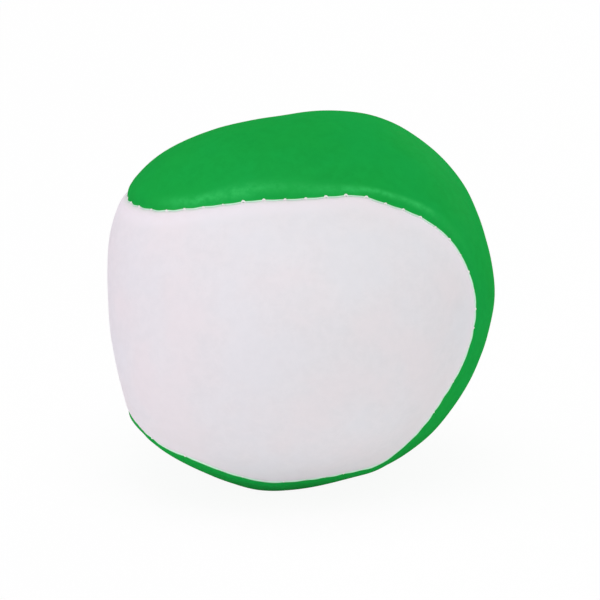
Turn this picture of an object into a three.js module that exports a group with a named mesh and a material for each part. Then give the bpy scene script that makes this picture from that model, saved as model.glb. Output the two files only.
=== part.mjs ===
// A two-panel footbag: two figure-eight panels of leatherette, sewn inside out along one
// baseball-style seam, turned right side out, filled with plastic pellets and closed by hand.
// Millimetres, +Z up. The bag lies on a table on its lower green lobe. Its white lobes face the
// front (-Y) and the back, the white waist is at the left (-X) and the green waist at the right.
import * as THREE from "three";

// Form of the filled bag
const bagRadius = 26.1; // the ball that the slack bag departs from
const upperLeftSwell = 5.3; // where the fill stands the skin out of that ball
const lowerLeftSwell = 4.5;
const upperRightSwell = 1.8;
const lowerRightSlack = 2; // where the skin hangs in
const upperLeftAngles = [-79, 35]; // degrees round from the front, and up
const lowerLeftAngles = [-62, -31];
const upperRightAngles = [134, 54];
const lowerRightAngles = [59, -23];
const swellFactor = 6; // a larger factor keeps a swell closer to its place
const footPressDepth = 1.6; // how far the table presses the underside in

// Panels and their seam
const greenWaistWidth = 17.6; // width across the green panel's waist
const whiteWidening = 1.43; // the white lobes are cut this much wider than an even pair
const seamTilt = 3.3; // degrees that the bag has rolled towards its right
const panelThickness = 0.9;
const seamDipDepth = 0.9; // depth of the valley along the seam
const edgeRollWidth = 2.2; // reach of each panel's rolled edge, back from the seam
const seamAllowance = 3.4; // edge turned in below the valley
const seamGap = 0.3; // between the two turned-in edges

// Stitches
const stitchPitch = 2.9;
const threadDiameter = 0.5;
const needleClearance = 0.2; // round the thread, in its needle hole
const threadStandOff = 0.2; // from the turned-in edge to the thread that lies along it
const holeMargin = 0.15; // panel left between a needle hole and the rolled edge above it
const knotDiameter = 1.3;
const knotTailLength = 1.3; // thread from its last needle hole to its knot
const closingStitches = 10; // the filling gap, sewn shut by hand from the back
const closingShare = 0.625; // of the seam, from the upper green tip to the middle of that gap

// Fill
const fillClearance = 0.3; // between the fill and whatever holds it
const fillLevel = 4; // top of the settled fill, above the middle of the bag
const channelWall = 0.6; // run of the fill's slope down to the seam
const pelletRelief = 0.9; // depth of the hollows between pellets on the fill's surface
const pelletDiameter = 5;
const pelletHeight = 3.4;
const heapRings = 2; // rings of loose pellets round the middle one, in the heap's lowest layer

// Mesh counts
const edgeRows = 2; // rows over each rolled edge
const skinRows = 6; // rows from the rolled edge to a panel's middle line, on face, back and fill
const middleShare = 0.62; // share of a panel's length that its middle line runs
const evenShare = 0.4; // share of even spacing in the stations along that line
const squareShare = 0.4; // share of the way to that line that a mesh line stays square to the seam
const pelletSides = 6;
const threadSides = 4;

const needleHole = threadDiameter + 2 * needleClearance;
const turnDepth = seamDipDepth + seamAllowance; // from the skin to the turned-in edges' cut ends
const stitchDepth = seamDipDepth + panelThickness + holeMargin + needleHole / 2;
const frontFace = seamGap / 2; // from the seam's middle to a turned-in edge's two faces
const backFace = frontFace + panelThickness;
const threadLine = backFace + threadStandOff + threadDiameter / 2;
const knotLine = backFace + threadStandOff + knotDiameter / 2;
const channelHalf = backFace + threadStandOff + knotDiameter + fillClearance;

function times(count, make) {
  return Array.from({ length: count }, (_, i) => make(i));
}

// Form of the bag: the distance from its middle to its skin, in any direction.
function bearing(angles) {
  const [around, up] = angles.map(THREE.MathUtils.degToRad);
  return new THREE.Vector3(
    Math.sin(around) * Math.cos(up),
    -Math.cos(around) * Math.cos(up),
    Math.sin(up),
  );
}

const swells = [
  { toward: bearing(upperLeftAngles), rise: upperLeftSwell },
  { toward: bearing(lowerLeftAngles), rise: lowerLeftSwell },
  { toward: bearing(upperRightAngles), rise: upperRightSwell },
  { toward: bearing(lowerRightAngles), rise: -lowerRightSlack },
];

function reach(direction) {
  return swells.reduce(
    (sum, swell) => sum + swell.rise * Math.exp(swellFactor * (direction.dot(swell.toward) - 1)),
    bagRadius,
  );
}

const tableHeight = footPressDepth - reach(new THREE.Vector3(0, 0, -1));

// A point of the bag, some way in from the skin, and kept that far above the table.
function inside(direction, inset) {
  const point = direction.clone().multiplyScalar(reach(direction) - inset);
  point.z = Math.max(point.z, tableHeight + inset);
  return point;
}

// The seam: one closed curve, s from 0 to 2 pi. It starts at the tip of the upper green lobe,
// passes the front white lobe's tip at a quarter, the lower green tip at a half and the back
// white lobe's tip at three quarters.
const wave = (1 - greenWaistWidth / (2 * bagRadius)) / 2;
const tilt = new THREE.Matrix4().makeRotationY(THREE.MathUtils.degToRad(seamTilt));
const untilt = tilt.clone().invert();

function seamDirection(s) {
  const round = 1 - wave;
  return new THREE.Vector3(
    -2 * Math.sqrt(round * wave) * Math.cos(2 * s),
    -round * Math.sin(s) - wave * Math.sin(3 * s),
    whiteWidening * (round * Math.cos(s) - wave * Math.cos(3 * s)),
  )
    .normalize()
    .applyMatrix4(tilt);
}

function seamPoint(s) {
  const direction = seamDirection(s);
  return direction.multiplyScalar(reach(direction));
}

// Each quarter of the seam takes the same even number of stitches, evenly spaced along it.
const quarterSamples = 400; // points that measure a quarter's length

function quarterLengths(quarter) {
  const lengths = [0];
  let last = seamPoint((quarter * Math.PI) / 2);
  for (let i = 1; i <= quarterSamples; i++) {
    const next = seamPoint(((quarter + i / quarterSamples) * Math.PI) / 2);
    lengths.push(lengths[i - 1] + next.distanceTo(last));
    last = next;
  }
  return lengths;
}

const quarters = [0, 1, 2, 3].map(quarterLengths);
const seamLength = quarters.reduce((sum, lengths) => sum + lengths[quarterSamples], 0);
const quarterStitches = 2 * Math.max(2, Math.round(seamLength / 8 / stitchPitch));
const stitchCount = 4 * quarterStitches;

function evenlyAlong(quarter, share) {
  const lengths = quarters[quarter];
  const wanted = share * lengths[quarterSamples];
  const i = Math.max(1, lengths.findIndex((length) => length >= wanted));
  const part = (wanted - lengths[i - 1]) / (lengths[i] - lengths[i - 1]);
  return ((quarter + (i - 1 + part) / quarterSamples) * Math.PI) / 2;
}

// Columns of the meshes stand between the stitches, and every second one goes on over the skin.
// Each has the direction out through the seam and the direction across it, towards the white panel.
const columns = times(stitchCount, (j) => {
  const quarter = Math.floor(j / quarterStitches);
  const s = evenlyAlong(quarter, (j % quarterStitches) / quarterStitches);
  const step = 1e-4;
  const out = seamDirection(s);
  const along = seamPoint(s + step).sub(seamPoint(s - step));
  along.addScaledVector(out, -along.dot(out)).normalize();
  return { out, across: along.clone().cross(out) };
});

// A panel's middle line has a station for each pair of columns that face each other across it.
// Its stations partly keep to their columns, and partly spread evenly along the line.
function panelSide(toward, tipColumn, normal, angleOf, atAngle) {
  const stationOf = (j) => {
    const round = (j - tipColumn + stitchCount) % stitchCount;
    return Math.min(round, stitchCount - round) / 2;
  };
  const last = stitchCount / 4;
  const angleAt = (j) => angleOf(columns[j % stitchCount].out.clone().applyMatrix4(untilt));
  const [firstTip, lastTip] = [angleAt(tipColumn), angleAt(tipColumn + stitchCount / 2)];
  const middles = times(last + 1, (i) => {
    const pair = (angleAt(tipColumn + 2 * i) + angleAt(tipColumn + stitchCount - 2 * i)) / 2;
    const even = THREE.MathUtils.lerp(firstTip, lastTip, i / last);
    const angle = middleShare * THREE.MathUtils.lerp(pair, even, evenShare);
    return atAngle(angle).applyMatrix4(tilt);
  });
  return { toward, normal: normal.applyMatrix4(tilt), stationOf, middles };
}

const whiteSide = panelSide(
  1,
  quarterStitches,
  new THREE.Vector3(0, 0, 1),
  (d) => Math.atan2(-d.y, -d.x),
  (angle) => new THREE.Vector3(-Math.cos(angle), -Math.sin(angle), 0),
);
const greenSide = panelSide(
  -1,
  0,
  new THREE.Vector3(0, 1, 0),
  (d) => Math.atan2(d.z, d.x),
  (angle) => new THREE.Vector3(Math.cos(angle), 0, Math.sin(angle)),
);

// A direction so far from the seam, square to it.
function offSeam(column, side, distance) {
  const angle = distance / reach(column.out);
  return column.out
    .clone()
    .multiplyScalar(Math.cos(angle))
    .addScaledVector(column.across, side.toward * Math.sin(angle));
}

// A direction on a line over the skin, from so far off the seam to the panel's middle line. The
// line leaves square to the seam, bends and never crosses the middle line. The share is 0 to 1.
function vein(column, j, side, distance, share) {
  const start = offSeam(column, side, distance);
  const room = Math.asin(Math.abs(start.dot(side.normal))) * reach(column.out);
  const bend = offSeam(column, side, distance + squareShare * room);
  const middle = side.middles[side.stationOf(j)];
  return start
    .multiplyScalar((1 - share) ** 2)
    .addScaledVector(bend, 2 * share * (1 - share))
    .addScaledVector(middle, share ** 2)
    .normalize();
}

// How far the skin dips where a panel's edge rolls over into the seam.
function rollDip(distance) {
  const share = Math.min(1, Math.max(0, distance / edgeRollWidth));
  return seamDipDepth * (1 - Math.sqrt(1 - (1 - share) ** 2));
}

// A point beside the turned-in edges: so deep under the skin, so far across the seam.
function besideSeam(column, depth, across) {
  return column.out
    .clone()
    .multiplyScalar(reach(column.out) - depth)
    .addScaledVector(column.across, across);
}

// A closed surface lofted over the columns, between two middle lines where the columns meet in
// pairs. A row takes every column or, over the skin, every second one.
function columnLoft(first, rows, last, flip) {
  const positions = [];
  const triangles = [];
  const addPoint = (point) => positions.push(point.x, point.y, point.z) / 3 - 1;
  const addTriangle = (a, b, c) => triangles.push(...(flip ? [a, c, b] : [a, b, c]));
  const addQuad = (a, b, c, d) => {
    addTriangle(a, b, c);
    addTriangle(a, c, d);
  };
  const middleRow = (end) => {
    const ids = end.points.map(addPoint);
    return { every: 2, ids: columns.map((_, j) => ids[end.side.stationOf(j)]) };
  };
  const grid = [
    middleRow(first),
    ...rows.map(({ every, at }) => ({
      every,
      ids: columns.map((column, j) => (j % every === 0 ? addPoint(at(column, j)) : -1)),
    })),
    middleRow(last),
  ];
  const cell = (r, j, step) => {
    const n = (j + step) % stitchCount;
    return [grid[r].ids[j], grid[r].ids[n], grid[r + 1].ids[n], grid[r + 1].ids[j]];
  };
  const pointAt = (id) => new THREE.Vector3().fromArray(positions, 3 * id);
  const apart = (a, b) => pointAt(a).normalize().distanceTo(pointAt(b).normalize());
  // A cell is split along its shorter diagonal. Where a row of every column meets one of every
  // second, the odd column ends between two cells.
  const addBand = (r) => {
    const [here, next] = [grid[r].every, grid[r + 1].every];
    const step = Math.max(here, next);
    for (let j = 0; j < stitchCount; j += step) {
      const [a, b, c, d] = cell(r, j, step);
      if (here < next) {
        const odd = grid[r].ids[j + 1];
        addTriangle(a, odd, d);
        addTriangle(odd, c, d);
        addTriangle(odd, b, c);
      } else if (here > next) {
        const odd = grid[r + 1].ids[j + 1];
        addTriangle(a, odd, d);
        addTriangle(a, b, odd);
        addTriangle(b, c, odd);
      } else if (apart(a, c) < apart(b, d)) {
        addQuad(a, b, c, d);
      } else {
        addQuad(b, c, d, a);
      }
    }
  };
  return { positions, triangles, addPoint, pointAt, addQuad, addBand, cell };
}

function meshGeometry(positions, triangles) {
  const geometry = new THREE.BufferGeometry();
  geometry.setAttribute("position", new THREE.Float32BufferAttribute(positions, 3));
  geometry.setIndex(triangles);
  return geometry;
}

// Corners of a square needle hole in one cell of a turned-in edge, going round as the cell does.
// The hole's middle is so far down the cell, whose whole run down is also given.
function holeCorners(loft, corners, down, run) {
  const [a, b, c, d] = corners.map(loft.pointAt);
  const alongHalf = needleHole / (a.distanceTo(b) + d.distanceTo(c));
  const at = (u, v) => a.clone().lerp(b, u).lerp(d.clone().lerp(c, u), v);
  const [left, right] = [0.5 - alongHalf, 0.5 + alongHalf];
  const [near, far] = [(down - needleHole / 2) / run, (down + needleHole / 2) / run];
  return [at(left, near), at(right, near), at(right, far), at(left, far)].map(loft.addPoint);
}

function punchedCell(loft, corners, hole) {
  for (let k = 0; k < 4; k++) {
    const n = (k + 1) % 4;
    loft.addQuad(corners[k], corners[n], hole[n], hole[k]);
  }
}

// One panel: its face, the rolled and turned-in edge with a needle hole for each stitch, and its
// back, all in one skin.
function panelGeometry(side) {
  const skinRow = (from, share, inset) => ({
    every: 2,
    at: (column, j) => inside(vein(column, j, side, from, share), inset),
  });
  const rollRow = (distance) => ({
    every: 1,
    at: (column) => inside(offSeam(column, side, distance), rollDip(distance - frontFace)),
  });
  const turnRow = (depth, across) => ({
    every: 1,
    at: (column) => besideSeam(column, depth, side.toward * across),
  });
  const backTop = seamDipDepth + panelThickness;
  const rows = [
    ...times(skinRows, (i) => skinRow(edgeRollWidth, 1 - (i + 1) / skinRows, 0)),
    ...times(edgeRows - 1, (i) => rollRow(edgeRollWidth * (1 - (i + 1) / edgeRows) ** 2)),
    turnRow(seamDipDepth, frontFace),
    turnRow(turnDepth, frontFace),
    turnRow(turnDepth, backFace),
    turnRow(backTop, backFace),
    ...times(skinRows, (i) => skinRow(edgeRollWidth + panelThickness, i / skinRows, panelThickness)),
  ];
  const middleLine = (inset) => ({
    side,
    points: side.middles.map((middle) => inside(middle, inset)),
  });
  const loft = columnLoft(middleLine(0), rows, middleLine(panelThickness), side.toward < 0);
  const turnFront = skinRows + edgeRows;
  const turnBack = turnFront + 2;
  const frontRun = turnDepth - seamDipDepth;
  const backRun = turnDepth - backTop;
  for (let r = 0; r <= rows.length; r++) {
    if (r !== turnFront && r !== turnBack) {
      loft.addBand(r);
    }
  }
  columns.forEach((_, j) => {
    const frontCell = loft.cell(turnFront, j, 1);
    const backCell = loft.cell(turnBack, j, 1);
    const [a, b, c, d] = holeCorners(loft, frontCell, stitchDepth - seamDipDepth, frontRun);
    const [e, f, g, h] = holeCorners(loft, backCell, turnDepth - stitchDepth, backRun);
    punchedCell(loft, frontCell, [a, b, c, d]);
    punchedCell(loft, backCell, [e, f, g, h]);
    loft.addQuad(a, b, g, h);
    loft.addQuad(b, c, f, g);
    loft.addQuad(c, d, e, f);
    loft.addQuad(d, a, h, e);
  });
  return meshGeometry(loft.positions, loft.triangles);
}

// The settled fill: pellets lying so close that they are one bed, with a channel left for the
// turned-in edges and their thread, and its top level inside the bag.
function bedGeometry() {
  const bedStart = Math.max(channelHalf + channelWall, edgeRollWidth + panelThickness + fillClearance);
  const cover = panelThickness + fillClearance;
  const channelDepth =
    Math.max(turnDepth, stitchDepth + knotTailLength + knotDiameter / 2) + fillClearance;
  const settle = (point, relief) => {
    const top = fillLevel - relief;
    return point.z > top ? point.multiplyScalar(top / point.z) : point;
  };
  const bedRow = (side, share, odd) => ({
    every: 2,
    at: (column, j) => {
      const relief = (side.stationOf(j) + odd) % 2 === 0 ? 0 : pelletRelief;
      return settle(inside(vein(column, j, side, bedStart, share), cover + relief), relief);
    },
  });
  const channelRow = (across) => ({
    every: 1,
    at: (column) => settle(besideSeam(column, channelDepth, across), 0),
  });
  const middleLine = (side) => ({
    side,
    points: side.middles.map((middle) => settle(inside(middle, cover), 0)),
  });
  const rows = [
    ...times(skinRows, (i) => bedRow(whiteSide, 1 - (i + 1) / skinRows, i)),
    channelRow(channelHalf),
    channelRow(0),
    channelRow(-channelHalf),
    ...times(skinRows, (i) => bedRow(greenSide, i / skinRows, i)),
  ];
  const loft = columnLoft(middleLine(whiteSide), rows, middleLine(greenSide), false);
  for (let r = 0; r <= rows.length; r++) {
    loft.addBand(r);
  }
  return meshGeometry(loft.positions, loft.triangles);
}

// A cord along a path of straight runs, mitred where they meet, with its own radius at each point.
function cordGeometry(path, radii, firstNormal) {
  const runs = path.slice(1).map((point, i) => point.clone().sub(path[i]).normalize());
  const side = runs[0].clone().cross(firstNormal).normalize();
  const normal = side.clone().cross(runs[0]);
  let ring = times(threadSides, (k) => {
    const angle = (2 * Math.PI * (k + 0.5)) / threadSides;
    return path[0]
      .clone()
      .addScaledVector(normal, radii[0] * Math.cos(angle))
      .addScaledVector(side, radii[0] * Math.sin(angle));
  });
  const positions = ring.flatMap((point) => point.toArray());
  const triangles = [];
  for (let i = 1; i < path.length; i++) {
    const run = runs[i - 1];
    const mitre = run.clone().add(runs[i] ?? run).normalize();
    ring = ring.map((point) => {
      const slide = path[i].clone().sub(point).dot(mitre) / run.dot(mitre);
      const end = point.clone().addScaledVector(run, slide);
      return path[i].clone().lerp(end, radii[i] / radii[i - 1]);
    });
    positions.push(...ring.flatMap((point) => point.toArray()));
    times(threadSides, (k) => {
      const low = (i - 1) * threadSides;
      const n = (k + 1) % threadSides;
      const high = low + threadSides;
      triangles.push(low + k, low + n, high + n, low + k, high + n, high + k);
    });
  }
  const last = (path.length - 1) * threadSides;
  for (let k = 1; k < threadSides - 1; k++) {
    triangles.push(0, k + 1, k, last, last + k, last + k + 1);
  }
  return meshGeometry(positions, triangles);
}

// One run of thread: across the seam at each needle hole and along the turned-in edge to the next,
// on the white side and the green side by turns, with a knot at both ends.
const knotSteps = [-1, -0.4, 0.4, 1]; // along a knot, in shares of its radius, ending at the thread
const knotGirths = [0.4, 0.9, 0.9]; // its thickness there, in shares of its radius

function threadGeometry(firstStitch, count, startSide) {
  const atStitch = (j, depth, across) => {
    const here = columns[j % stitchCount];
    const next = columns[(j + 1) % stitchCount];
    return besideSeam(here, depth, across).lerp(besideSeam(next, depth, across), 0.5);
  };
  const lastStitch = firstStitch + count - 1;
  const endSide = startSide * (count % 2 === 0 ? 1 : -1);
  const knotDepth = stitchDepth + knotTailLength;
  const stitches = times(count, (i) => {
    const across = startSide * (i % 2 === 0 ? 1 : -1) * threadLine;
    const stitch = firstStitch + i;
    return [atStitch(stitch, stitchDepth, across), atStitch(stitch, stitchDepth, -across)];
  }).flat();
  const knot = (stitch, side, corner) => {
    const middle = atStitch(stitch, knotDepth, side * knotLine);
    const toward = corner.clone().sub(middle).normalize();
    return knotSteps.map((share) =>
      middle.clone().addScaledVector(toward, (share * knotDiameter) / 2),
    );
  };
  const knotRadii = knotGirths.map((share) => (share * knotDiameter) / 2);
  const threadRadius = threadDiameter / 2;
  const path = [
    ...knot(firstStitch, startSide, stitches[0]),
    ...stitches,
    ...knot(lastStitch, endSide, stitches[stitches.length - 1]).reverse(),
  ];
  const radii = [
    ...knotRadii,
    threadRadius,
    ...stitches.map(() => threadRadius),
    threadRadius,
    ...knotRadii.toReversed(),
  ];
  return cordGeometry(path, radii, columns[firstStitch % stitchCount].across);
}

// Loose pellets heaped on the bed: lens-shaped grains in hexagonal layers, each layer smaller than
// the one below it and lying in its hollows.
function pelletSites() {
  const pitch = pelletDiameter + fillClearance;
  const lowest = fillLevel + fillClearance + pelletHeight / 2;
  const layerStep = (pelletHeight + fillClearance) * Math.sqrt(2 / 3);
  const hollow = new THREE.Vector2(0.5, Math.sqrt(3) / 6);
  const siteMargin = 0.1; // of a pitch, so that the sites on the outer ring count
  const sites = [];
  for (let layer = 0; layer < 2 * heapRings; layer++) {
    const rings = heapRings - layer / 2;
    const corner = new THREE.Vector2();
    if (layer % 2 === 1) {
      corner.copy(hollow);
    }
    for (let row = -heapRings; row <= heapRings; row++) {
      for (let place = -heapRings; place <= heapRings; place++) {
        const flat = new THREE.Vector2(place + row / 2, (row * Math.sqrt(3)) / 2).add(corner);
        if (flat.length() <= rings + siteMargin) {
          sites.push(new THREE.Vector3(flat.x * pitch, flat.y * pitch, lowest + layer * layerStep));
        }
      }
    }
  }
  return sites;
}

function pelletGeometry() {
  const levels = [-0.5, -0.3, 0, 0.3, 0.5]; // in shares of the pellet's height
  const profile = levels.map((height) => {
    const width = Math.sqrt(Math.max(0, 0.25 - height ** 2));
    return new THREE.Vector2(width * pelletDiameter, height * pelletHeight);
  });
  return new THREE.LatheGeometry(profile, pelletSides).rotateX(Math.PI / 2);
}

// Assembly
const finishes = {
  white: { color: 0xe4dfe4, roughness: 0.42, metalness: 0 },
  green: { color: 0x1aa143, roughness: 0.38, metalness: 0 },
  thread: { color: 0xf3f2ee, roughness: 0.7, metalness: 0 },
  pellet: { color: 0xece8dc, roughness: 0.5, metalness: 0 },
};
const bag = new THREE.Group();

function addPiece(name, geometry, finish) {
  const mesh = new THREE.Mesh(geometry, new THREE.MeshStandardMaterial(finishes[finish]));
  mesh.name = name;
  bag.add(mesh);
  return mesh;
}

const closingStart = Math.round(closingShare * stitchCount - closingStitches / 2);
addPiece("white_panel", panelGeometry(whiteSide), "white");
addPiece("green_panel", panelGeometry(greenSide), "green");
const mainStart = closingStart + closingStitches;
addPiece("seam_thread", threadGeometry(mainStart, stitchCount - closingStitches, 1), "thread");
addPiece("closing_thread", threadGeometry(closingStart, closingStitches, 1), "thread");
addPiece("pellet_bed", bedGeometry(), "pellet");
pelletSites().forEach((site, i) => {
  const name = `pellet_${String(i + 1).padStart(2, "0")}`;
  addPiece(name, pelletGeometry(), "pellet").position.copy(site);
});

// The part's origin is on the table, under the middle of the bag's width and depth.
const box = new THREE.Box3().setFromObject(bag);
const middle = box.getCenter(new THREE.Vector3());
bag.position.set(-middle.x, -middle.y, -tableHeight);
const group = new THREE.Group();
group.add(bag);

export default group;
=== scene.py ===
import math
import bpy
import numpy as np
from mathutils import Matrix, Vector


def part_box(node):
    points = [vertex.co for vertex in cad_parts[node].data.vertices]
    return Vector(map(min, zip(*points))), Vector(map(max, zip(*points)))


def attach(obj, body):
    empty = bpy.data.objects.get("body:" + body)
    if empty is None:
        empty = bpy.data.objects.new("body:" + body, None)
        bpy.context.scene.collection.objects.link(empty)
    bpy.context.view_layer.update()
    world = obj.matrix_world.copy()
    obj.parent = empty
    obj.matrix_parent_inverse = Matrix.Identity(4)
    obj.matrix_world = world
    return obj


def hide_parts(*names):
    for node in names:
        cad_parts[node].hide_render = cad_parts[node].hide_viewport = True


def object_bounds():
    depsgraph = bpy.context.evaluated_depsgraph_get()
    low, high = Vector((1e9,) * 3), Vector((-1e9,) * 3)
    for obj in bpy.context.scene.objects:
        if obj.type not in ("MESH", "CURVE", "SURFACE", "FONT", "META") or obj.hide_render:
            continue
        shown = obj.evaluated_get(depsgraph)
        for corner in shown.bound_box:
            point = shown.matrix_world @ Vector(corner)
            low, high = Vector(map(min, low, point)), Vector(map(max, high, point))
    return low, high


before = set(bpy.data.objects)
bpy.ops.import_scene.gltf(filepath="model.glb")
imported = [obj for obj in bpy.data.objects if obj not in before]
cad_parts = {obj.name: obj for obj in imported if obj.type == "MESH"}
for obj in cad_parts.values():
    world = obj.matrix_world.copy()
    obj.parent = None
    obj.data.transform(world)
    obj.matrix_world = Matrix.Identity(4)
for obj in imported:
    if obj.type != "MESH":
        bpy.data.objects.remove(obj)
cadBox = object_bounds()
mm = 0.001

# Form of the filled bag, in millimetres about the middle that its swells are measured from.
bagForm = {
    "radius": 26.1,
    "swells": [  # degrees round from the front, degrees up, rise, closeness to its place
        (-79, 35, 5.3, 6),  # upper left
        (-62, -31, 4.5, 6),  # lower left
        (134, 54, 1.8, 6),  # upper right, at the back
        (59, -23, -2.0, 6),  # slack at the lower right
    ],
    "dents": [  # small hollows and swells of the slack skin, in the same terms
        (95, -14, -0.21, 70),
        (100, 19, -0.27, 60),
        (120, 50, -0.17, 60),
        (178, 69, -0.14, 60),
        (-139, 65, -0.52, 50),
        (-113, 50, -0.52, 45),
        (-98, 28, -0.18, 60),
        (-88, 5, -0.56, 60),
        (-83, -8, -0.45, 150),
        (-79, -19, -0.65, 60),
        (-74, -30, 0.55, 250),
        (-62, -48, -0.88, 60),
        (-33, -65, 0.46, 100),
        (33, -67, -0.40, 60),
        (71, -44, 0.18, 60),
        (37, -52, 0.36, 150),
        (-17, -51, 0.30, 80),
    ],
    "footPress": 1.6,  # how far the table presses the underside in
    "footEase": 0.6,  # rounding of the pressed patch's rim
    "skin": 0.9,  # thickness of the leatherette
    "lumpRise": 0.018,  # pellets felt through the skin
    "lumpLength": 5.2,
    "lumpRange": (0.75, 1.6),  # how the length varies, as shares of it
    "lumpWaves": 48,
    "lumpFade": 3.0,  # distance off the seam over which they fade out
    "lumpSeed": 11,
}


def bearing(around, up):
    turn, lift = math.radians(around), math.radians(up)
    return np.array([
        math.sin(turn) * math.cos(lift),
        -math.cos(turn) * math.cos(lift),
        math.sin(lift),
    ])


def swelling(directions, spots):
    total = np.zeros(directions.shape[:-1])
    for around, up, rise, closeness in spots:
        total = total + rise * np.exp(closeness * (directions @ bearing(around, up) - 1))
    return total


# From the middle to the skin, without its dents and with them.
def formReach(directions):
    return bagForm["radius"] + swelling(directions, bagForm["swells"])


def reach(directions):
    spots = bagForm["swells"] + bagForm["dents"]
    return bagForm["radius"] + swelling(directions, spots)


down = np.array([0.0, 0.0, -1.0])
tableHeight = bagForm["footPress"] - bagForm["radius"] - swelling(down, bagForm["swells"])


# Keeps points above the table, with an eased rim round the pressed patch.
def settled(points, inset):
    ease = bagForm["footEase"]
    height = points[..., 2] - tableHeight - inset
    eased = np.where(np.abs(height) < ease, (height + ease) ** 2 / (4 * ease), np.maximum(height, 0))
    return np.concatenate([points[..., :2], (eased + tableHeight + inset)[..., None]], axis=-1)


def unit(vectors):
    return vectors / np.linalg.norm(vectors, axis=-1, keepdims=True)


# Faint unevenness from the pellets under the skin: many small waves with seeded directions.
lumpDraw = np.random.default_rng(bagForm["lumpSeed"])
lumpTurns = unit(lumpDraw.normal(size=(bagForm["lumpWaves"], 3)))
lumpLengths = bagForm["lumpLength"] * lumpDraw.uniform(*bagForm["lumpRange"], bagForm["lumpWaves"])
lumpPhases = lumpDraw.uniform(0, 2 * math.pi, bagForm["lumpWaves"])


def lumps(points):
    waves = np.cos(2 * math.pi * (points @ lumpTurns.T) / lumpLengths + lumpPhases)
    return bagForm["lumpRise"] * waves.sum(axis=-1) * math.sqrt(2 / bagForm["lumpWaves"])


# The seam is one closed line. s runs once round it from the tip of the upper green lobe.
seam = {
    "greenWaist": 17.6,
    "whiteWidening": 1.43,
    "tilt": 3.3,
    "stitchPitch": 2.9,
    "stepsPerStitch": 8,  # mesh columns for each stitch
    "samples": 800,  # points that measure a quarter's length
    "turnDepth": 4.3,  # from the skin to the turned-in edges' cut ends
    "stitchDepth": 2.4,
    "needleHole": 0.9,
    "edgeGap": 0.15,  # from the seam's middle to each turned-in edge
    "pressedGap": 0.02,  # and to it where the skins are pressed together
    "pressedDepth": 1.2,  # how far down that is
    "openingSharpness": 3,  # how closely a stitch's opening keeps to the stitch
    "tension": (0.4, 1.6),  # stitches are pulled unevenly tight
    "tensionSeed": 31,
    "sway": 0.07,  # the edge scallops between stitches, towards the white
    "swayReach": 1.2,
    "stray": [  # share of the way round, and how far the sewn line strays to the white there
        (0.0, -0.9),
        (0.05, 0.62),
        (0.08, 0.12),
        (0.097, 0.0),
        (0.117, 0.6),
        (0.132, 0.6),
        (0.146, 0.05),
        (0.159, 0.88),
        (0.175, 0.68),
        (0.197, 0.12),
        (0.215, 0.4),
        (0.23, 0.45),
        (0.285, 2.9),
        (0.31, 2.2),
        (0.327, 1.7),
        (0.348, 2.9),
        (0.365, 2.7),
        (0.388, 1.4),
        (0.405, 1.6),
        (0.422, 2.7),
        (0.442, 1.0),
        (0.468, -0.1),
        (0.5, 0.0),
        (0.975, -0.9),
    ],
    "drawnIn": [  # share of the way round, and how much of its depth the valley has there
        (0.0, 1.0),
        (0.19, 1.0),
        (0.24, 0.4),
        (0.475, 0.4),
        (0.51, 1.0),
    ],
    "easing": 2,  # stitches over which values round the seam ease into each other
}
tilt = math.radians(seam["tilt"])
tiltTurn = np.array([
    [math.cos(tilt), 0, math.sin(tilt)],
    [0, 1, 0],
    [-math.sin(tilt), 0, math.cos(tilt)],
])


def seamDirections(s):
    ripple = (1 - seam["greenWaist"] / (2 * bagForm["radius"])) / 2
    main = 1 - ripple
    line = np.stack([
        -2 * math.sqrt(main * ripple) * np.cos(2 * s),
        -main * np.sin(s) - ripple * np.sin(3 * s),
        seam["whiteWidening"] * (main * np.cos(s) - ripple * np.cos(3 * s)),
    ], axis=-1)
    return unit(line) @ tiltTurn.T


def seamPoints(s):
    directions = seamDirections(s)
    return directions * formReach(directions)[..., None]


def quarterLengths(quarter):
    s = (quarter + np.linspace(0, 1, seam["samples"] + 1)) * math.pi / 2
    chords = np.linalg.norm(np.diff(seamPoints(s), axis=0), axis=-1)
    return s, np.concatenate([[0], np.cumsum(chords)])


quarters = [quarterLengths(quarter) for quarter in range(4)]
seamLength = sum(lengths[-1] for s, lengths in quarters)
quarterStitches = 2 * round(seamLength / 4 / (2 * seam["stitchPitch"]))  # an even number
stitchCount = 4 * quarterStitches
steps = seam["stepsPerStitch"]
columnCount = stitchCount * steps
quarterColumns = columnCount // 4
columnS = np.concatenate([
    np.interp(np.arange(quarterColumns) / quarterColumns * lengths[-1], lengths, s)
    for s, lengths in quarters
])
columnShare = np.arange(columnCount) / columnCount


# Values at a few places on the seam, eased into one for each column.
def roundSeam(stations):
    shares, values = zip(*stations)
    window = np.hanning(seam["easing"] * steps + 3)  # its first and last are nothing
    straight = np.tile(np.interp(columnShare, shares, values, period=1), 3)
    return np.convolve(straight, window / window.sum(), "same")[columnCount:2 * columnCount]


def alongSeam(directions):
    points = directions * formReach(directions)[:, None]
    ahead = np.roll(points, -1, axis=0) - np.roll(points, 1, axis=0)
    return unit(ahead - directions * (ahead * directions).sum(axis=-1, keepdims=True))


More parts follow.
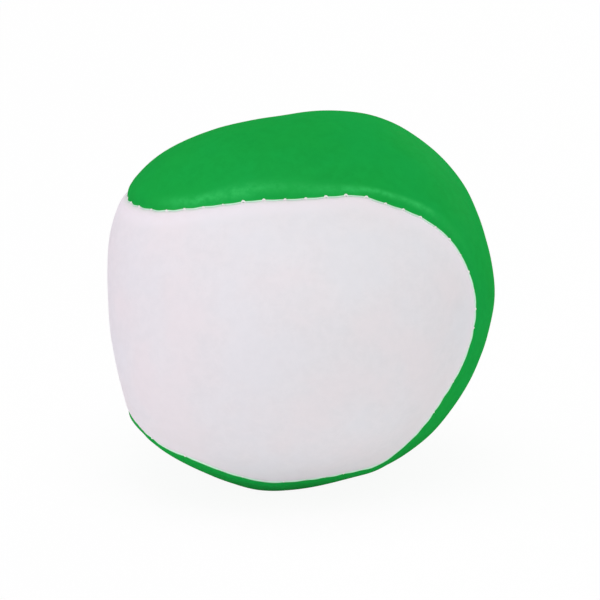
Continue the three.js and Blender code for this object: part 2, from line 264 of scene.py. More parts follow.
planned = seamDirections(columnS)
strayed = roundSeam(seam["stray"]) / formReach(planned)
columnOut = unit(planned + np.cross(alongSeam(planned), planned) * strayed[:, None])
columnAlong = alongSeam(columnOut)
columnAcross = np.cross(columnAlong, columnOut)  # points to the white panel
columnReach = reach(columnOut)
columnDrawn = roundSeam(seam["drawnIn"])
columnPhase = (np.arange(columnCount) % steps) / steps
stitchPull = 0.5 - 0.5 * np.cos(2 * math.pi * columnPhase)  # 1 at a stitch, 0 midway between two
columnSway = seam["sway"] * (1 - 2 * stitchPull)
tensionDraw = np.random.default_rng(seam["tensionSeed"])
tensions = tensionDraw.uniform(*seam["tension"], stitchCount)
columnPucker = stitchPull * np.repeat(tensions, steps)
print("seam:", round(seamLength, 1), "mm,", stitchCount, "stitches,", columnCount, "columns")


# A direction so far off the seam, square to it. Distances may be one for each column.
def offSeam(toward, distance):
    sway = columnSway * np.exp(-((distance / seam["swayReach"]) ** 2))
    angle = ((toward * distance + sway) / columnReach)[:, None]
    return columnOut * np.cos(angle) + columnAcross * np.sin(angle)


# A place in the seam, so deep under the skin and so far across to the white side.
def besideSeam(depth, across):
    depth = np.broadcast_to(depth, columnReach.shape)
    across = np.broadcast_to(across, columnReach.shape) + columnSway
    return columnOut * (columnReach - depth)[:, None] + columnAcross * across[:, None]


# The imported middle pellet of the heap's lowest layer lies over the middle of the form.
lowCorner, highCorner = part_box("pellet_10")
formPlace = np.array([
    (lowCorner.x + highCorner.x) / 2,
    (lowCorner.y + highCorner.y) / 2,
    -tableHeight * mm,
])


def meshPiece(name, points, faces, attributes, material):
    mesh = bpy.data.meshes.new(name)
    mesh.from_pydata((points * mm + formPlace).tolist(), [], faces)
    for key, values in attributes.items():
        layer = mesh.attributes.new(key, "FLOAT", "POINT")
        layer.data.foreach_set("value", np.asarray(values, dtype=np.float32))
    mesh.polygons.foreach_set("use_smooth", [True] * len(mesh.polygons))
    mesh.materials.append(material)
    mesh.update()
    piece = bpy.data.objects.new(name, mesh)
    bpy.context.scene.collection.objects.link(piece)
    return piece


# Shader maths as Python expressions: a socket that adds its own Math nodes.
class Sock:
    def __init__(self, shade, socket):
        self.shade = shade
        self.socket = socket

    def __add__(self, other):
        return self.shade.math("ADD", self, other)

    def __radd__(self, other):
        return self.shade.math("ADD", other, self)

    def __sub__(self, other):
        return self.shade.math("SUBTRACT", self, other)

    def __rsub__(self, other):
        return self.shade.math("SUBTRACT", other, self)

    def __mul__(self, other):
        return self.shade.math("MULTIPLY", self, other)

    def __rmul__(self, other):
        return self.shade.math("MULTIPLY", other, self)

    def __truediv__(self, other):
        return self.shade.math("DIVIDE", self, other)

    def __rtruediv__(self, other):
        return self.shade.math("DIVIDE", other, self)


class Shade:
    def __init__(self, tree):
        self.tree = tree
        tree.nodes.clear()

    def node(self, kind, settings=None, sockets=None, out=0):
        made = self.tree.nodes.new(kind)
        for key, value in (settings or {}).items():
            setattr(made, key, value)
        for key, value in (sockets or {}).items():
            if isinstance(value, Sock):
                self.tree.links.new(value.socket, made.inputs[key])
            else:
                made.inputs[key].default_value = value
        return Sock(self, made.outputs[out]) if made.outputs else made

    def math(self, operation, first, second):
        return self.node("ShaderNodeMath", {"operation": operation}, {0: first, 1: second})

    def mix(self, factor, first, second):
        colours = {0: factor, 6: first, 7: second}  # a Mix node has its colours at 6 and 7
        return self.node("ShaderNodeMix", {"data_type": "RGBA"}, colours, 2)

    def span(self, value, low, high, start=0.0, end=1.0):
        kind = {"interpolation_type": "SMOOTHSTEP"}
        return self.node("ShaderNodeMapRange", kind, {0: value, 1: low, 2: high, 3: start, 4: end})

    def attribute(self, name):
        return self.node("ShaderNodeAttribute", {"attribute_name": name}, out="Fac")

    def noise(self, place, scale, detail, roughness):
        values = {"Vector": place, "Scale": scale, "Detail": detail, "Roughness": roughness}
        return self.node("ShaderNodeTexNoise", {}, values)

    def bump(self, strength, depth, height):
        values = {"Strength": strength, "Distance": depth * mm, "Height": height}
        return self.node("ShaderNodeBump", {}, values)


def newMaterial(name):
    material = bpy.data.materials.new(name)
    material.use_nodes = True
    return material, Shade(material.node_tree)


def finishMaterial(shade, sockets):
    surface = shade.node("ShaderNodeBsdfPrincipled", {}, sockets)
    shade.node("ShaderNodeOutputMaterial", {}, {"Surface": surface})


# Smooth coated leatherette on a knitted backing.
leather = {  # a noise has its waves in a metre, detail and roughness; a span its limits and ends
    "mottle": (95.0, 4.0, 0.6),
    "mottleSpan": (0.35, 0.7),
    "mottleShare": 0.35,
    "wrinkle": (700.0, 4.0, 0.72),
    "speckleSpan": (0.35, 0.65),
    "speckleShare": 0.55,
    "patches": (90.0, 3.0, 0.5),
    "warmSpan": (0.48, 0.66, 0.0, 0.5),
    "coolSpan": (0.34, 0.52, 0.5, 0.0),
    "wear": (700.0, 3.0, 0.7),  # breaks up the painted highlight along the ridge
    "wearSpan": (0.3, 0.7, 0.4, 1.35),
    "knitScale": 900.0,
    "knitShare": 0.25,
    "grainScale": 2600.0,
    "grainHeight": 0.6,
    "wrinkleHeight": 0.6,
    "bumpStrength": 0.8,
    "wrinkleRoughness": 0.10,  # what each adds to the roughness
    "mottleRoughness": 0.06,
    "liningRoughness": 0.35,
}
whiteFinish = {
    "colour": (0.767, 0.745, 0.773, 1),
    "shade": (0.725, 0.708, 0.736, 1),  # its faint mottling
    "warm": (0.790, 0.732, 0.757, 1),  # and its wide, faint patches
    "cool": (0.739, 0.743, 0.782, 1),
    "edge": (0.83, 0.745, 0.80, 1),  # pinker where the edge is stretched
    "edgeStart": 0.1,  # share of the edge's width at which it starts to fade
    "edgeShare": 0.35,
    "rubbed": (0.81, 0.79, 0.83, 1),  # painted highlight, lighter along the ridge beside the seam
    "backing": (0.72, 0.70, 0.66, 1),
    "roughness": 0.46,
    "coat": 0.05,
    "coatRoughness": 0.35,
    "grainDepth": 0.012,
}
greenFinish = {
    "colour": (0.0094, 0.356, 0.0555, 1),
    "shade": (0.0080, 0.318, 0.0470, 1),
    "warm": (0.0102, 0.349, 0.0500, 1),
    "cool": (0.0085, 0.350, 0.0600, 1),
    "edge": (0.66, 0.96, 0.77, 1),  # coating stretched pale at the very edge
    "edgeStart": 0.6,
    "edgeShare": 0.95,
    # painted highlight along the ridge beside the seam
    "rubbed": (0.0300, 0.475, 0.1000, 1),
    "backing": (0.66, 0.68, 0.62, 1),
    "roughness": 0.36,
    "coat": 0.012,
    "coatRoughness": 0.30,
    "grainDepth": 0.014,
}


def leatherette(name, finish):
    material, shade = newMaterial(name)
    place = shade.node("ShaderNodeTexCoord", out="Object")
    seamDistance = shade.attribute("seamDistance")
    lining = shade.attribute("lining")
    mottle = shade.span(shade.noise(place, *leather["mottle"]), *leather["mottleSpan"])
    wrinkle = shade.noise(place, *leather["wrinkle"])
    speckle = shade.span(wrinkle, *leather["speckleSpan"])
    shaded = leather["mottleShare"] * mottle + leather["speckleShare"] * speckle
    colour = shade.mix(shaded, finish["colour"], finish["shade"])
    patches = shade.noise(place, *leather["patches"])
    colour = shade.mix(shade.span(patches, *leather["warmSpan"]), colour, finish["warm"])
    colour = shade.mix(shade.span(patches, *leather["coolSpan"]), colour, finish["cool"])
    # painted highlight along the ridge beside the seam, broken up by noise
    wear = shade.span(shade.noise(place, *leather["wear"]), *leather["wearSpan"])
    colour = shade.mix(wear * shade.attribute("rubbed"), colour, finish["rubbed"])
    edgePlace = seamDistance / shade.attribute("edgeWidth")
    edge = shade.span(edgePlace, finish["edgeStart"], 1.0, 1.0, 0.0)
    colour = shade.mix(edge * finish["edgeShare"], colour, finish["edge"])
    knitValues = {"Vector": place, "Scale": leather["knitScale"]}
    knit = shade.node("ShaderNodeTexWave", {"wave_type": "RINGS"}, knitValues)
    backing = shade.mix(leather["knitShare"] * knit, finish["backing"], finish["shade"])
    colour = shade.mix(lining, colour, backing)
    grainValues = {"Vector": place, "Scale": leather["grainScale"]}
    grain = shade.node("ShaderNodeTexVoronoi", {"feature": "SMOOTH_F1"}, grainValues)
    height = grain * leather["grainHeight"] + wrinkle * leather["wrinkleHeight"]
    bump = shade.bump(leather["bumpStrength"], finish["grainDepth"], height)
    rough = finish["roughness"] + leather["wrinkleRoughness"] * wrinkle
    rough = rough + leather["mottleRoughness"] * mottle + leather["liningRoughness"] * lining
    finishMaterial(shade, {
        "Base Color": colour,
        "Roughness": rough,
        "Specular IOR Level": 0.0,
        "Coat Weight": finish["coat"],
        "Coat Roughness": finish["coatRoughness"],
        "Normal": bump,
    })
    return material


# Panels: a figure-eight of leatherette with a rolled and turned-in edge and its needle holes.
whitePanel = {
    "name": "whitePanel",
    "node": "white_panel",
    "slot": "white_leatherette",
    "toward": 1,
    "tip": quarterColumns,  # column at the front lobe's tip
    "rollWidth": 1.3,
    "rollDepth": 0.56,
    "rollSharpness": 3,
    "edge": [(0.0, 3.2)],  # share of the way round, and how wide the stretched edge is
    "ridgeRise": 0.03,
    "ridge": [  # share of the way round, distance off the seam, half its width, strength of its painted highlight
        (0.05, 1.6, 0.9, 0.5),
        (0.2, 1.6, 0.9, 0.2),
        (0.6, 1.6, 0.9, 0.5),
        (0.8, 1.6, 0.9, 0.3),
    ],
    "puckerDepth": 0.05,
    "puckerReach": 1.8,
    "stitchOpening": 0.02,
    "fill": 0.75,
}
greenPanel = {
    "name": "greenPanel",
    "node": "green_panel",
    "slot": "green_leatherette",
    "toward": -1,
    "tip": 0,
    "rollWidth": 2.4,
    "rollDepth": 0.50,
    "rollSharpness": 2,
    "edge": [
        (0.0, 0.17),
        (0.16, 0.17),
        (0.22, 0.3),
        (0.27, 0.45),
        (0.34, 0.5),
        (0.42, 0.48),
        (0.465, 0.4),
        (0.49, 0.17),
    ],
    "ridgeRise": 0.08,
    # ridge columns as for the white; the last is the strength of its painted highlight
    "ridge": [
        (0.044, 1.3, 0.8, 0.0),
        (0.051, 1.2, 0.8, 0.12),
        (0.056, 1.1, 0.75, 0.5),
        (0.064, 1.1, 0.75, 0.74),
        (0.071, 1.0, 0.65, 0.88),
        (0.078, 1.25, 0.9, 0.72),
        (0.086, 1.5, 1.0, 0.72),
        (0.094, 1.6, 1.05, 0.85),
        (0.1, 1.9, 0.95, 0.5),
        (0.114, 1.9, 1.0, 0.4),
        (0.121, 1.45, 1.0, 0.38),
        (0.129, 1.1, 0.9, 0.45),
        (0.137, 0.9, 0.8, 0.55),
        (0.143, 0.8, 0.6, 0.72),
        (0.15, 1.15, 0.42, 0.95),
        (0.157, 1.5, 0.42, 0.75),
        (0.172, 1.5, 0.48, 0.75),
        (0.18, 1.6, 0.48, 1.0),
        (0.187, 1.4, 0.7, 0.25),
        (0.2, 1.3, 0.8, 0.22),
        (0.215, 1.3, 0.8, 0.06),
        (0.24, 1.3, 0.7, 0.0),
        (0.5, 1.4, 0.7, 0.0),
        (0.55, 1.3, 0.8, 0.8),
        (0.64, 1.6, 0.6, 0.5),
        (0.7, 1.2, 0.5, 0.9),
        (0.76, 1.5, 0.7, 0.1),
        (0.86, 1.3, 0.8, 0.7),
        (0.93, 1.4, 0.8, 0.0),
    ],
    "puckerDepth": 0.09,
    "puckerReach": 1.6,
    "stitchOpening": 0.04,
    "fill": 0.75,
}
skinRows = {
    "face": 26,  # rows from the rolled edge to the panel's middle line
    "roll": 12,  # rows over the rolled edge
    "rollBunching": 1.5,  # these lie closer together towards the edge
    "back": 7,
    "middleShare": 0.62,  # share of a panel's length that its middle line runs
    "evenShare": 0.4,
    "squareShare": 0.4,  # share of the way that a mesh line stays square to the seam
    "farOff": 20.0,  # distance from the seam that the middle line's points are given
}


# Stations on a panel's middle line, one for each pair of columns that face across it.
def middleStations(panel):
    untilted = columnOut @ tiltTurn
    if panel["toward"] > 0:
        angles = np.arctan2(-untilted[:, 1], -untilted[:, 0])
    else:
        angles = np.arctan2(untilted[:, 2], untilted[:, 0])
    half = columnCount // 2
    stations = np.arange(half + 1)
    first, last = angles[panel["tip"]], angles[(panel["tip"] + half) % columnCount]
    ahead = angles[(panel["tip"] + stations) % columnCount]
    behind = angles[(panel["tip"] - stations) % columnCount]
    even = first + (last - first) * stations / half
    share = skinRows["evenShare"]
    angle = skinRows["middleShare"] * ((ahead + behind) / 2 * (1 - share) + even * share)
    zero = np.zeros_like(angle)
    if panel["toward"] > 0:
        line = np.stack([-np.cos(angle), -np.sin(angle), zero], axis=-1)
    else:
        line = np.stack([np.cos(angle), zero, np.sin(angle)], axis=-1)
    turn = (np.arange(columnCount) - panel["tip"]) % columnCount
    return line @ tiltTurn.T, np.minimum(turn, columnCount - turn)


# Directions on the lines over the skin, from so far off the seam to the middle line.
def veins(panel, distance, share, stationLine, stationOf):
    normal = tiltTurn @ (np.array([0, 0, 1.0]) if panel["toward"] > 0 else np.array([0, 1.0, 0]))
    start = offSeam(panel["toward"], distance)
    room = np.arcsin(np.abs(start @ normal)) * columnReach
    bend = offSeam(panel["toward"], distance + skinRows["squareShare"] * room)
    ahead = (1 - share) ** 2 * start + 2 * share * (1 - share) * bend
    return unit(ahead + share ** 2 * stationLine[stationOf])


def fromSeam(directions):
    cosine = np.clip((directions * columnOut).sum(axis=-1), -1, 1)
    return np.arccos(cosine) * columnReach


# How far each column's skin stands out on the ridge beside the roll, from 0 to 1.
def ridgeShare(panel, distance):
    place = roundSeam([(share, place) for share, place, width, highlight in panel["ridge"]])
    width = roundSeam([(share, width) for share, place, width, highlight in panel["ridge"]])
    return np.exp(-(((distance - place) / width) ** 2))


# The outer face, with its ridge, the stitches' pull and the pellets' lumps.
def faceRow(panel, directions, distance, dip):
    pucker = columnPucker * np.exp(-((distance / panel["puckerReach"]) ** 2))
    away = 1 - np.exp(-((distance / bagForm["lumpFade"]) ** 2))
    rise = panel["ridgeRise"] * ridgeShare(panel, distance) - panel["puckerDepth"] * pucker - dip
    skin = directions * reach(directions)[:, None]
    rise = rise + away * lumps(skin)
    return settled(skin + directions * rise[:, None], 0)


def rollDip(panel, share):
    return columnDrawn * panel["rollDepth"] * (1 - share) ** panel["rollSharpness"]


def panelMesh(panel):
    toward, skin = panel["toward"], bagForm["skin"]
    stationLine, stationOf = middleStations(panel)
    rows, faces = [], []
    points, distances, widths, highlights, linings = [], [], [], [], []
    # strength of the painted highlight along the seam, for each column
    rubbed = roundSeam([(share, highlight) for share, place, width, highlight in panel["ridge"]])
    edgeWidth = roundSeam(panel["edge"])

    def addPoints(where, distance, width, highlight, lining):
        first = sum(len(block) for block in points)
        points.append(where)
        distances.append(np.broadcast_to(distance, len(where)))
        widths.append(np.broadcast_to(width, len(where)))
        highlights.append(np.broadcast_to(highlight, len(where)))
        linings.append(np.full(len(where), lining))
        return first + np.arange(len(where))

    def addRow(where, distance, lining=0.0):
        # painted highlight, strongest on the ridge
        highlight = rubbed * ridgeShare(panel, np.broadcast_to(distance, columnCount))
        rows.append(addPoints(where, distance, edgeWidth, highlight, lining))

    def addMiddle(where, lining):
        rows.append(addPoints(where, skinRows["farOff"], 1.0, 0.0, lining)[stationOf])

    middleReach = reach(stationLine)
    outer = stationLine * middleReach[:, None]
    outer = outer + stationLine * lumps(outer)[:, None]
    addMiddle(settled(outer, 0), 0.0)
    width = panel["rollWidth"]
    for i in range(1, skinRows["face"] + 1):
        directions = veins(panel, width, 1 - i / skinRows["face"], stationLine, stationOf)
        distance = fromSeam(directions)
        addRow(faceRow(panel, directions, distance, 0), distance)
    gap = seam["pressedGap"] + panel["stitchOpening"] * stitchPull ** seam["openingSharpness"]
    for i in range(1, skinRows["roll"] + 1):
        share = (1 - i / skinRows["roll"]) ** skinRows["rollBunching"]
        distance = gap + (width - gap) * share
        dip = rollDip(panel, share)
        addRow(faceRow(panel, offSeam(toward, distance), distance, dip), distance)

    # The turned-in edge, down its front and up its back, with a hole for each stitch.
    edge, back = seam["edgeGap"], seam["edgeGap"] + skin
    holeTop = seam["stitchDepth"] - seam["needleHole"] / 2
    holeFoot = seam["stitchDepth"] + seam["needleHole"] / 2
    addRow(besideSeam(seam["pressedDepth"], toward * seam["pressedGap"]), 0.0)
    frontTop = len(rows)
    for depth in (holeTop, holeFoot, seam["turnDepth"]):
        addRow(besideSeam(depth, toward * edge), 0.0)
    backFoot = len(rows) + 1
    for depth in (seam["turnDepth"], holeFoot, holeTop, panel["rollDepth"] + skin):
        addRow(besideSeam(depth, toward * back), 0.0, 1.0)
    for i in range(skinRows["back"]):
        directions = veins(panel, width + skin, i / skinRows["back"], stationLine, stationOf)
        inner = directions * (reach(directions) - skin)[:, None]
        addRow(settled(inner, skin), fromSeam(directions), 1.0)
    addMiddle(settled(stationLine * (middleReach - skin)[:, None], skin), 1.0)

    # The cells on both sides of a stitch's column make way for its needle hole.
    inHole = np.isin(np.arange(columnCount) % steps, (steps // 2 - 1, steps // 2))
    for r in range(len(rows) - 1):
        here, below = rows[r], rows[r + 1]
        cells = np.stack([here, np.roll(here, -1), np.roll(below, -1), below], axis=1)
        faces.extend(cells[~inHole] if r in (frontTop, backFoot) else cells)
    for stitch in range(stitchCount):
        span = stitch * steps + steps // 2 + np.arange(-1, 2)
        front = np.concatenate([rows[frontTop][span], rows[frontTop + 1][span[::-1]]])
        rear = np.concatenate([rows[backFoot + 1][span], rows[backFoot][span[::-1]]])
        faces.extend(np.stack([front, np.roll(front, -1), np.roll(rear, -1), rear], axis=1))
    faces = np.array(faces)
    if toward < 0:
        faces = faces[:, ::-1]
    attributes = {
        "seamDistance": np.concatenate(distances),
        "edgeWidth": np.concatenate(widths),
        # painted highlight along the ridge
        "rubbed": np.concatenate(highlights),
        "lining": np.concatenate(linings),
    }
    return np.concatenate(points), faces.tolist(), attributes


for panel, finish in ((whitePanel, whiteFinish), (greenPanel, greenFinish)):
    points, faces, attributes = panelMesh(panel)
    piece = meshPiece(panel["name"], points, faces, attributes, leatherette(panel["slot"], finish))
    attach(piece, "root")
    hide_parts(panel["node"])
    print(panel["name"] + ":", len(points), "points,", len(faces), "faces")

# Thread: along the turned-in edges and across at each stitch, where a loop shows in the valley.
thread = {
    "radius": 0.25,
    "loopRadius": 0.13,
    "line": 1.5,  # from the seam's middle to the thread that lies along a turned-in edge
    "loopFoot": 0.66,  # depth at which a loop comes out of the seam
    "loopHalf": 0.23,  # half its length along the seam
    "loopReach": 0.19,  # how far it lies over the green edge
    "loopProud": 0.02,  # how far its middle stands off the green skin
    "loopLean": 0.12,  # how far its tip leans along the seam
    "loopLeans": (-0.4, 1.0),  # and how that varies, as shares of it
    "loopSizes": (0.3, 1.15),  # loops are drawn up unevenly
    "loopSeed": 5,
    "gapDepth": 1.3,  # where its two ends stand between the turned-in edges
    "knotRadius": 0.65,
    "knotShape": [(-1, 0.35), (-0.5, 0.85), (0, 1), (0.5, 0.85), (1, 0.4)],  # place and girth
    "knotNeck": 0.2,  # least radius of a knot's ends
    "knotTail": 1.3,
    "knotLine": 1.9,
    "sides": 8,
    "sideStart": (0.3, 0.5, 0.8),  # a direction that no thread starts along
    "pathSteps": 4,  # points between two of the path's corners
    "plyDepth": 0.10,  # share of the radius that the twist stands out
    "plyPitch": 1.1,
    "closingStitches": 10,
    "closingShare": 0.625,
    "colour": (0.89, 0.90, 0.88, 1),
    "shadow": (0.74, 0.75, 0.71, 1),
    "roughness": 0.62,
    "plyShare": 0.55,  # how much of the shadow lies between the plies
    "fibres": (9000.0, 3.0, 0.7),  # waves in a metre, detail, roughness
    "fibreShare": 0.2,
    "fibreRoughness": 0.2,
    "fibreStrength": 0.4,
    "fibreDepth": 0.03,
    "sheen": 0.15,
}


def threadMaterial():
    material, shade = newMaterial("thread")
    place = shade.node("ShaderNodeTexCoord", out="Object")
    ply = shade.attribute("ply")
    fibres = shade.noise(place, *thread["fibres"])
    shaded = thread["plyShare"] * (1 - ply) + thread["fibreShare"] * fibres
    finishMaterial(shade, {
        "Base Color": shade.mix(shaded, thread["colour"], thread["shadow"]),
        "Roughness": thread["roughness"] + thread["fibreRoughness"] * fibres,
        "Sheen Weight": thread["sheen"],
        "Normal": shade.bump(thread["fibreStrength"], thread["fibreDepth"], fibres),
    })
    return material


# A smooth line through the corners, with so many points for each.
def smoothPath(corners, count):
    before, after = 2 * corners[0] - corners[1], 2 * corners[-1] - corners[-2]
    padded = np.concatenate([[before], corners, [after]])
    t = (np.arange(count) / count)[:, None]
    runs = []
    for a, b, c, d in zip(padded, padded[1:], padded[2:], padded[3:]):
        bend, twist = 2 * a - 5 * b + 4 * c - d, 3 * b - a - 3 * c + d
        runs.append(0.5 * (2 * b + (c - a) * t + bend * t ** 2 + twist * t ** 3))
    return np.concatenate(runs + [corners[-1:]])


# A twisted tube round a path, closed at both ends.
def tube(path, radii):
    tangents = unit(np.gradient(path, axis=0))
    normals = np.zeros_like(path)
    normal = np.cross(tangents[0], thread["sideStart"])
    for i, tangent in enumerate(tangents):
        normal = normal - tangent * (normal @ tangent)
        normal = normal / np.linalg.norm(normal)
        normals[i] = normal
    sideways = np.cross(tangents, normals)
    run = np.concatenate([[0], np.cumsum(np.linalg.norm(np.diff(path, axis=0), axis=-1))])
    angles = 2 * math.pi * np.arange(thread["sides"]) / thread["sides"]
    ply = np.cos(2 * angles[None, :] + 2 * math.pi * run[:, None] / thread["plyPitch"])
    width = radii[:, None] * (1 + thread["plyDepth"] * ply)
    ring = normals[:, None] * np.cos(angles)[:, None] + sideways[:, None] * np.sin(angles)[:, None]
    points = (path[:, None] + ring * width[..., None]).reshape(-1, 3)
    index = np.arange(len(points)).reshape(len(path), -1)
    low, high = index[:-1], index[1:]
    cells = np.stack([low, np.roll(low, -1, 1), np.roll(high, -1, 1), high], axis=-1)
    faces = cells.reshape(-1, 4).tolist() + [index[0][::-1].tolist(), index[-1].tolist()]
    return points, faces, (0.5 + 0.5 * ply).reshape(-1)


loopDraw = np.random.default_rng(thread["loopSeed"])
loopSizes = loopDraw.uniform(*thread["loopSizes"], stitchCount)
loopLeans = loopDraw.uniform(*thread["loopLeans"], stitchCount) * thread["loopLean"]
loopFoot = besideSeam(thread["loopFoot"], 0)
loopGap = besideSeam(thread["gapDepth"], 0)


# One unbroken run of so many stitches, with a knot at each end.
def threadRun(firstStitch, count):
    backRuns = {side: besideSeam(seam["stitchDepth"], side * thread["line"]) for side in (1, -1)}
    knotSpots = {
        side: besideSeam(seam["stitchDepth"] + thread["knotTail"], side * thread["knotLine"])
        for side in (1, -1)
    }
    corners, radii = [], []

    def add(point, radius):
        corners.append(point)
        radii.append(radius)

    def knot(spot, toward, outward):
        size, shape = thread["knotRadius"], thread["knotShape"]
        for place, girth in shape if outward else shape[::-1]:
            add(spot + toward * place * size, max(girth * size, thread["knotNeck"]))

    for i in range(count):
        stitch = (firstStitch + i) % stitchCount
        column = stitch * steps + steps // 2
        side = 1 if i % 2 == 0 else -1
        out, along = columnOut[column], columnAlong[column]
        size = loopSizes[stitch]
        foot, gap = loopFoot[column], loopGap[column]
        half = along * thread["loopHalf"] * size
        over = thread["loopReach"] * size
        dip = rollDip(greenPanel, over / greenPanel["rollWidth"])[column] + greenPanel["puckerDepth"]
        top = out * (columnReach[column] - dip + thread["loopProud"])
        tip = top + columnAcross[column] * (columnSway[column] - over) + along * loopLeans[stitch]
        if i == 0:
            knot(knotSpots[side][column], unit(backRuns[side][column] - knotSpots[side][column]), True)
        add(backRuns[side][column], thread["radius"])
        add(gap - half, thread["loopRadius"])
        add(foot - half, thread["loopRadius"])
        add(tip, thread["loopRadius"])
        add(foot + half, thread["loopRadius"])
        add(gap + half, thread["loopRadius"])
        add(backRuns[-side][column], thread["radius"])
        if i == count - 1:
            end = knotSpots[-side][column]
            knot(end, unit(backRuns[-side][column] - end), False)
    path = smoothPath(np.array(corners), thread["pathSteps"])
    spots = np.arange(len(corners))
    fine = np.minimum(np.arange(len(path)) / thread["pathSteps"], spots[-1])
    return tube(path, np.interp(fine, spots, radii))


threadFinish = threadMaterial()
closingStart = round(thread["closingShare"] * stitchCount - thread["closingStitches"] / 2)
mainStart = closingStart + thread["closingStitches"]
runs = [
    ("seamThread", "seam_thread", mainStart, stitchCount - thread["closingStitches"]),
    ("closingThread", "closing_thread", closingStart, thread["closingStitches"]),
]
for name, node, firstStitch, count in runs:
    points, faces, ply = threadRun(firstStitch, count)
    piece = meshPiece(name, points, faces, {"ply": ply}, threadFinish)
    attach(piece, "root")
    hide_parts(node)
    print(name + ":", count, "stitches")

# Fill: lens-shaped plastic pellets, settled in the bag, with some loose ones heaped on top.
pellets = {
    "diameter": 5.0,
    "height": 3.4,
    "pitch": 5.3,
    "sides": 16,
    "rings": 7,
    "settledSides": 12,
    "settledRings": 5,
    "settledSize": 0.97,
    "level": 4.0,  # top of the settled ones, above the middle of the form
    "searchReach": 1.3,  # how far out places are tried, in the form's radius
    "clearance": 0.3,
    "jitter": 0.12,
    "tip": 12,  # degrees that a settled one may lean
    "seed": 23,
    "colour": (0.82, 0.79, 0.72, 1),
    "shade": (0.74, 0.70, 0.60, 1),
    "cloud": (420.0, 3.0, 0.55),  # waves in a metre, detail, roughness
    "cloudSpan": (0.35, 0.7),
    "scuff": (2600.0, 4.0, 0.65),
    "scuffStrength": 0.25,
    "scuffDepth": 0.03,
    "roughness": 0.42,
    "scuffRoughness": 0.18,
    "glow": 0.15,  # share of the light that goes through the plastic
    "glowReach": 2.0,
}


def pelletMaterial():
    material, shade = newMaterial("pellets")
    place = shade.node("ShaderNodeTexCoord", out="Object")
    cloud = shade.span(shade.noise(place, *pellets["cloud"]), *pellets["cloudSpan"])
    scuff = shade.noise(place, *pellets["scuff"])
    finishMaterial(shade, {
        "Base Color": shade.mix(cloud, pellets["colour"], pellets["shade"]),
        "Roughness": pellets["roughness"] + pellets["scuffRoughness"] * scuff,
        "Subsurface Weight": pellets["glow"],
        "Subsurface Scale": pellets["glowReach"] * mm,
        "Normal": shade.bump(pellets["scuffStrength"], pellets["scuffDepth"], scuff),
    })
    return material


# One pellet about its own middle: rings of a lens between two poles.
def pelletShape(sides, rings):
    up = np.linspace(-math.pi / 2, math.pi / 2, rings + 2)[1:-1]
    angles = 2 * math.pi * np.arange(sides) / sides
    flat = np.stack([np.cos(angles), np.sin(angles), np.zeros(sides)], axis=-1)
    rim = np.cos(up)[:, None, None] * flat * pellets["diameter"] / 2
    rim[..., 2] += np.sin(up)[:, None] * pellets["height"] / 2
    pole = np.array([[0, 0, pellets["height"] / 2]])
    points = np.concatenate([rim.reshape(-1, 3), -pole, pole])
    index = np.arange(rings * sides).reshape(rings, sides)
    low, high = index[:-1], index[1:]
    cells = np.stack([low, np.roll(low, -1, 1), np.roll(high, -1, 1), high], axis=-1)
    faces = cells.reshape(-1, 4).tolist()
    south, north = rings * sides, rings * sides + 1
    faces += [[south, b, a] for a, b in zip(index[0], np.roll(index[0], -1))]
    faces += [[north, a, b] for a, b in zip(index[-1], np.roll(index[-1], -1))]
    return points, faces


# Close-packed places in the lower part of the bag, clear of the skin and the turned-in edges.
def settledSites():
    pitch, step = pellets["pitch"], (pellets["height"] + pellets["clearance"]) * math.sqrt(2 / 3)
    top = pellets["level"] - pellets["height"] / 2
    reachOut = math.ceil(bagForm["radius"] * pellets["searchReach"] / pitch)
    sites = []
    for layer in range(int((top - tableHeight) / step)):
        corner = np.array([0.5, math.sqrt(3) / 6]) if layer % 2 else np.zeros(2)
        for row in range(-2 * reachOut, 2 * reachOut + 1):
            for place in range(-2 * reachOut, 2 * reachOut + 1):
                flat = (np.array([place + row / 2, row * math.sqrt(3) / 2]) + corner) * pitch
                sites.append([flat[0], flat[1], top - layer * step])
    sites = np.array(sites)
    away = np.linalg.norm(sites, axis=-1)
    sites, away = sites[away > 0], away[away > 0]
    room = bagForm["skin"] + pellets["clearance"] + pellets["diameter"] / 2
    lowest = tableHeight + bagForm["skin"] + pellets["clearance"] + pellets["height"] / 2
    held = (away < reach(sites / away[:, None]) - room) & (sites[:, 2] > lowest)
    sites = sites[held]
    line = columnOut[::steps] * columnReach[::steps, None]
    fromLine = np.linalg.norm(sites[:, None] - line[None], axis=-1).min(axis=1)
    return sites[fromLine > seam["turnDepth"] + pellets["clearance"] + pellets["diameter"] / 2]


pelletFinish = pelletMaterial()
pelletDraw = np.random.default_rng(pellets["seed"])
shape, shapeFaces = pelletShape(pellets["settledSides"], pellets["settledRings"])
points, faces = [], []
for site in settledSites():
    lean = math.radians(pellets["tip"]) * pelletDraw.uniform(-1, 1, 2)
    turn = Matrix.Rotation(lean[0], 3, "X") @ Matrix.Rotation(lean[1], 3, "Y")
    spot = site + pelletDraw.uniform(-1, 1, 3) * pellets["jitter"]
    first = len(points) * len(shape)
    points.append(shape * pellets["settledSize"] @ np.array(turn).T + spot)
    faces.extend([[first + i for i in face] for face in shapeFaces])
settledFill = meshPiece("settledPellets", np.concatenate(points), faces, {}, pelletFinish)
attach(settledFill, "root")
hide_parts("pellet_bed")
print("settledPellets:", len(points))

looseNodes = sorted(
    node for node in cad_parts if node.startswith("pellet_") and node != "pellet_bed"
)
shape, shapeFaces = pelletShape(pellets["sides"], pellets["rings"])
for node in looseNodes:
    low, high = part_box(node)
    spot = (np.array((low + high) / 2) - formPlace) / mm
    name = "loose" + node.title().replace("_", "")
    piece = meshPiece(name, shape + spot, shapeFaces, {}, pelletFinish)
    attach(piece, "root")
    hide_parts(node)
print("loose pellets:", len(looseNodes))

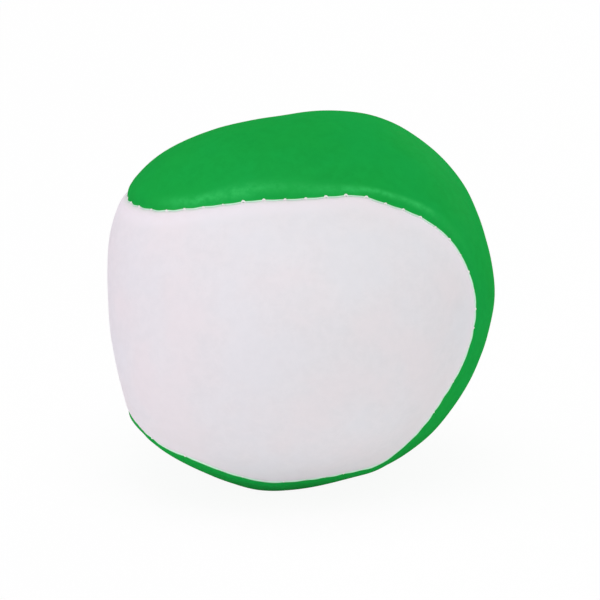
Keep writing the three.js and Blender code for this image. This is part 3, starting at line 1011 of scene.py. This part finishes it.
# Floor and light
studio = {
    "white": (1, 1, 1, 1),
    "floorHalf": 4.0,
    "floorColour": (0.95, 0.95, 0.95, 1),
    "floorGlow": 0.93,  # share of plain white that the floor shows to the camera
    "sky": 0.57,
    "lamps": [  # name, watts, colour, size, degrees round from the front, degrees up, metres away
        ("frontLamp", 1.87, (1, 1, 1), 0.6, 10, 4, 0.8),
        ("leftLamp", 1.89, (1, 0.82, 1), 0.6, -80, 6, 0.8),
        ("rightLamp", 0.25, (1, 1, 1), 0.6, 95, 8, 0.8),
        ("backLamp", 2.5, (1, 1, 1), 0.6, 150, 7, 0.8),
        ("topLamp", 2.27, (1, 1, 1), 0.6, 0, 85, 0.8),
    ],
}


# 1 for what the camera sees, also in gloss or through glass, and 0 for light on the object.
def seen(shade):
    direct = shade.node("ShaderNodeLightPath", out="Is Camera Ray")
    glossy = shade.node("ShaderNodeLightPath", out="Is Glossy Ray")
    through = shade.node("ShaderNodeLightPath", out="Is Transmission Ray")
    return shade.math("MAXIMUM", shade.math("MAXIMUM", direct, glossy), through)


floorMesh = bpy.data.meshes.new("floor")
half = studio["floorHalf"]
corners = [(-half, -half, 0), (half, -half, 0), (half, half, 0), (-half, half, 0)]
floorMesh.from_pydata(corners, [], [(0, 1, 2, 3)])
floorMaterial, shade = newMaterial("floor")
plain = shade.node("ShaderNodeBsdfDiffuse", {}, {"Color": studio["floorColour"]})
glow = shade.node("ShaderNodeEmission", {}, {"Color": studio["white"], "Strength": 1.0})
mixed = shade.node("ShaderNodeMixShader", {}, {0: seen(shade) * studio["floorGlow"], 1: plain, 2: glow})
shade.node("ShaderNodeOutputMaterial", {}, {"Surface": mixed})
floorMesh.materials.append(floorMaterial)
floor = bpy.data.objects.new("floor", floorMesh)
bpy.context.scene.collection.objects.link(floor)

world = bpy.data.worlds.new("studio")
world.use_nodes = True
bpy.context.scene.world = world
shade = Shade(world.node_tree)
sky = shade.node("ShaderNodeBackground", {}, {"Color": studio["white"], "Strength": studio["sky"]})
backdrop = shade.node("ShaderNodeBackground", {}, {"Color": studio["white"], "Strength": 1.0})
mixed = shade.node("ShaderNodeMixShader", {}, {0: seen(shade), 1: sky, 2: backdrop})
shade.node("ShaderNodeOutputWorld", {}, {"Surface": mixed})

objectMiddle = Vector((0, 0, float(cadBox[1][2]) / 2))


def aimedAt(piece, around, up, distance):
    back = Vector(bearing(around, up))
    piece.location = objectMiddle + back * distance
    piece.rotation_euler = back.to_track_quat("Z", "Y").to_euler()


for name, power, colour, size, around, up, distance in studio["lamps"]:
    lamp = bpy.data.lights.new(name, "AREA")
    lamp.shape = "DISK"
    lamp.size = size
    lamp.energy = power
    lamp.color = colour
    holder = bpy.data.objects.new(name, lamp)
    bpy.context.scene.collection.objects.link(holder)
    aimedAt(holder, around, up, distance)
print("studio:", len(studio["lamps"]), "lamps")

# Camera: where the form's middle stands in the 600 pixel frame, and the scale there.
view = {
    "around": 3.6,
    "up": 20.5,
    "distance": 600.0,
    "frame": 600,
    "pixelsPerMm": 7.036,
    "middleAt": (313.6, 301.8),
    "sensor": 36.0,
}
camera = bpy.data.cameras.new("camera")
camera.sensor_width = view["sensor"]
camera.lens = view["sensor"] * view["distance"] * view["pixelsPerMm"] / view["frame"]
back = Vector(bearing(view["around"], view["up"]))
right = Vector(bearing(view["around"] + 90, 0))
above = back.cross(right)
holder = bpy.data.objects.new("camera", camera)
bpy.context.scene.collection.objects.link(holder)
offRight = (view["frame"] / 2 - view["middleAt"][0]) / view["pixelsPerMm"]
offAbove = (view["middleAt"][1] - view["frame"] / 2) / view["pixelsPerMm"]
holder.location = Vector(formPlace) + (back * view["distance"] + right * offRight + above * offAbove) * mm
holder.rotation_euler = Matrix((right, above, back)).transposed().to_euler()
bpy.context.scene.camera = holder
bpy.context.scene.view_settings.view_transform = "Standard"
